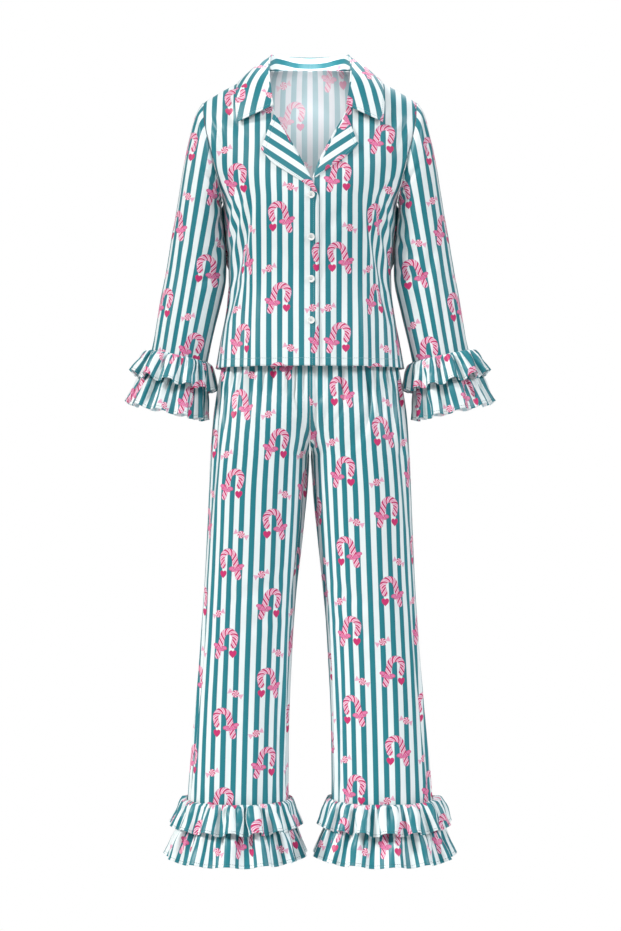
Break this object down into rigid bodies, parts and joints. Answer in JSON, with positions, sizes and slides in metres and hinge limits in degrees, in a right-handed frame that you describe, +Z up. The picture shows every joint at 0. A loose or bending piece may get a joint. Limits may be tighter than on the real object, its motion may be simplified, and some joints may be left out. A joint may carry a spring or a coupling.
{
  "type": "pyjama set of notch-collar jacket and ruffled trousers, filled out as worn",
  "caption": "Pyjama jacket with a notch collar, button front and ruffled cuffs, worn over straight elastic-waisted trousers with ruffled hems.",
  "frame": {"origin": "midway between the neck ends of the two shoulder seams, where the wearer's shoulders carry the jacket", "axes": "+Z up, the front faces -Y, +X towards the wearer's left, which is the viewer's right"},
  "size_m": [0.6798, 0.2409, 1.489],
  "materials": {
    "printed_satin": "soft satin sheen",
    "button_resin": "gloss"
  },
  "bodies": {
    "root": {"front_right": "printed_satin", "front_left": "printed_satin", "back": "printed_satin", "sleeve_left": "printed_satin", "sleeve_right": "printed_satin", "collar": "printed_satin", "lapel_left": "printed_satin", "lapel_right": "printed_satin", "cuff_ruffle_upper_left": "printed_satin", "cuff_ruffle_upper_right": "printed_satin", "cuff_ruffle_lower_left": "printed_satin", "cuff_ruffle_lower_right": "printed_satin", "waistband": "printed_satin", "leg_front_left": "printed_satin", "leg_front_right": "printed_satin", "leg_back_left": "printed_satin", "leg_back_right": "printed_satin", "hem_ruffle_upper_left": "printed_satin", "hem_ruffle_upper_right": "printed_satin", "hem_ruffle_lower_left": "printed_satin", "hem_ruffle_lower_right": "printed_satin", "button_1": "button_resin", "button_2": "button_resin", "button_3": "button_resin", "button_4": "button_resin"}
  },
  "joints": []
}
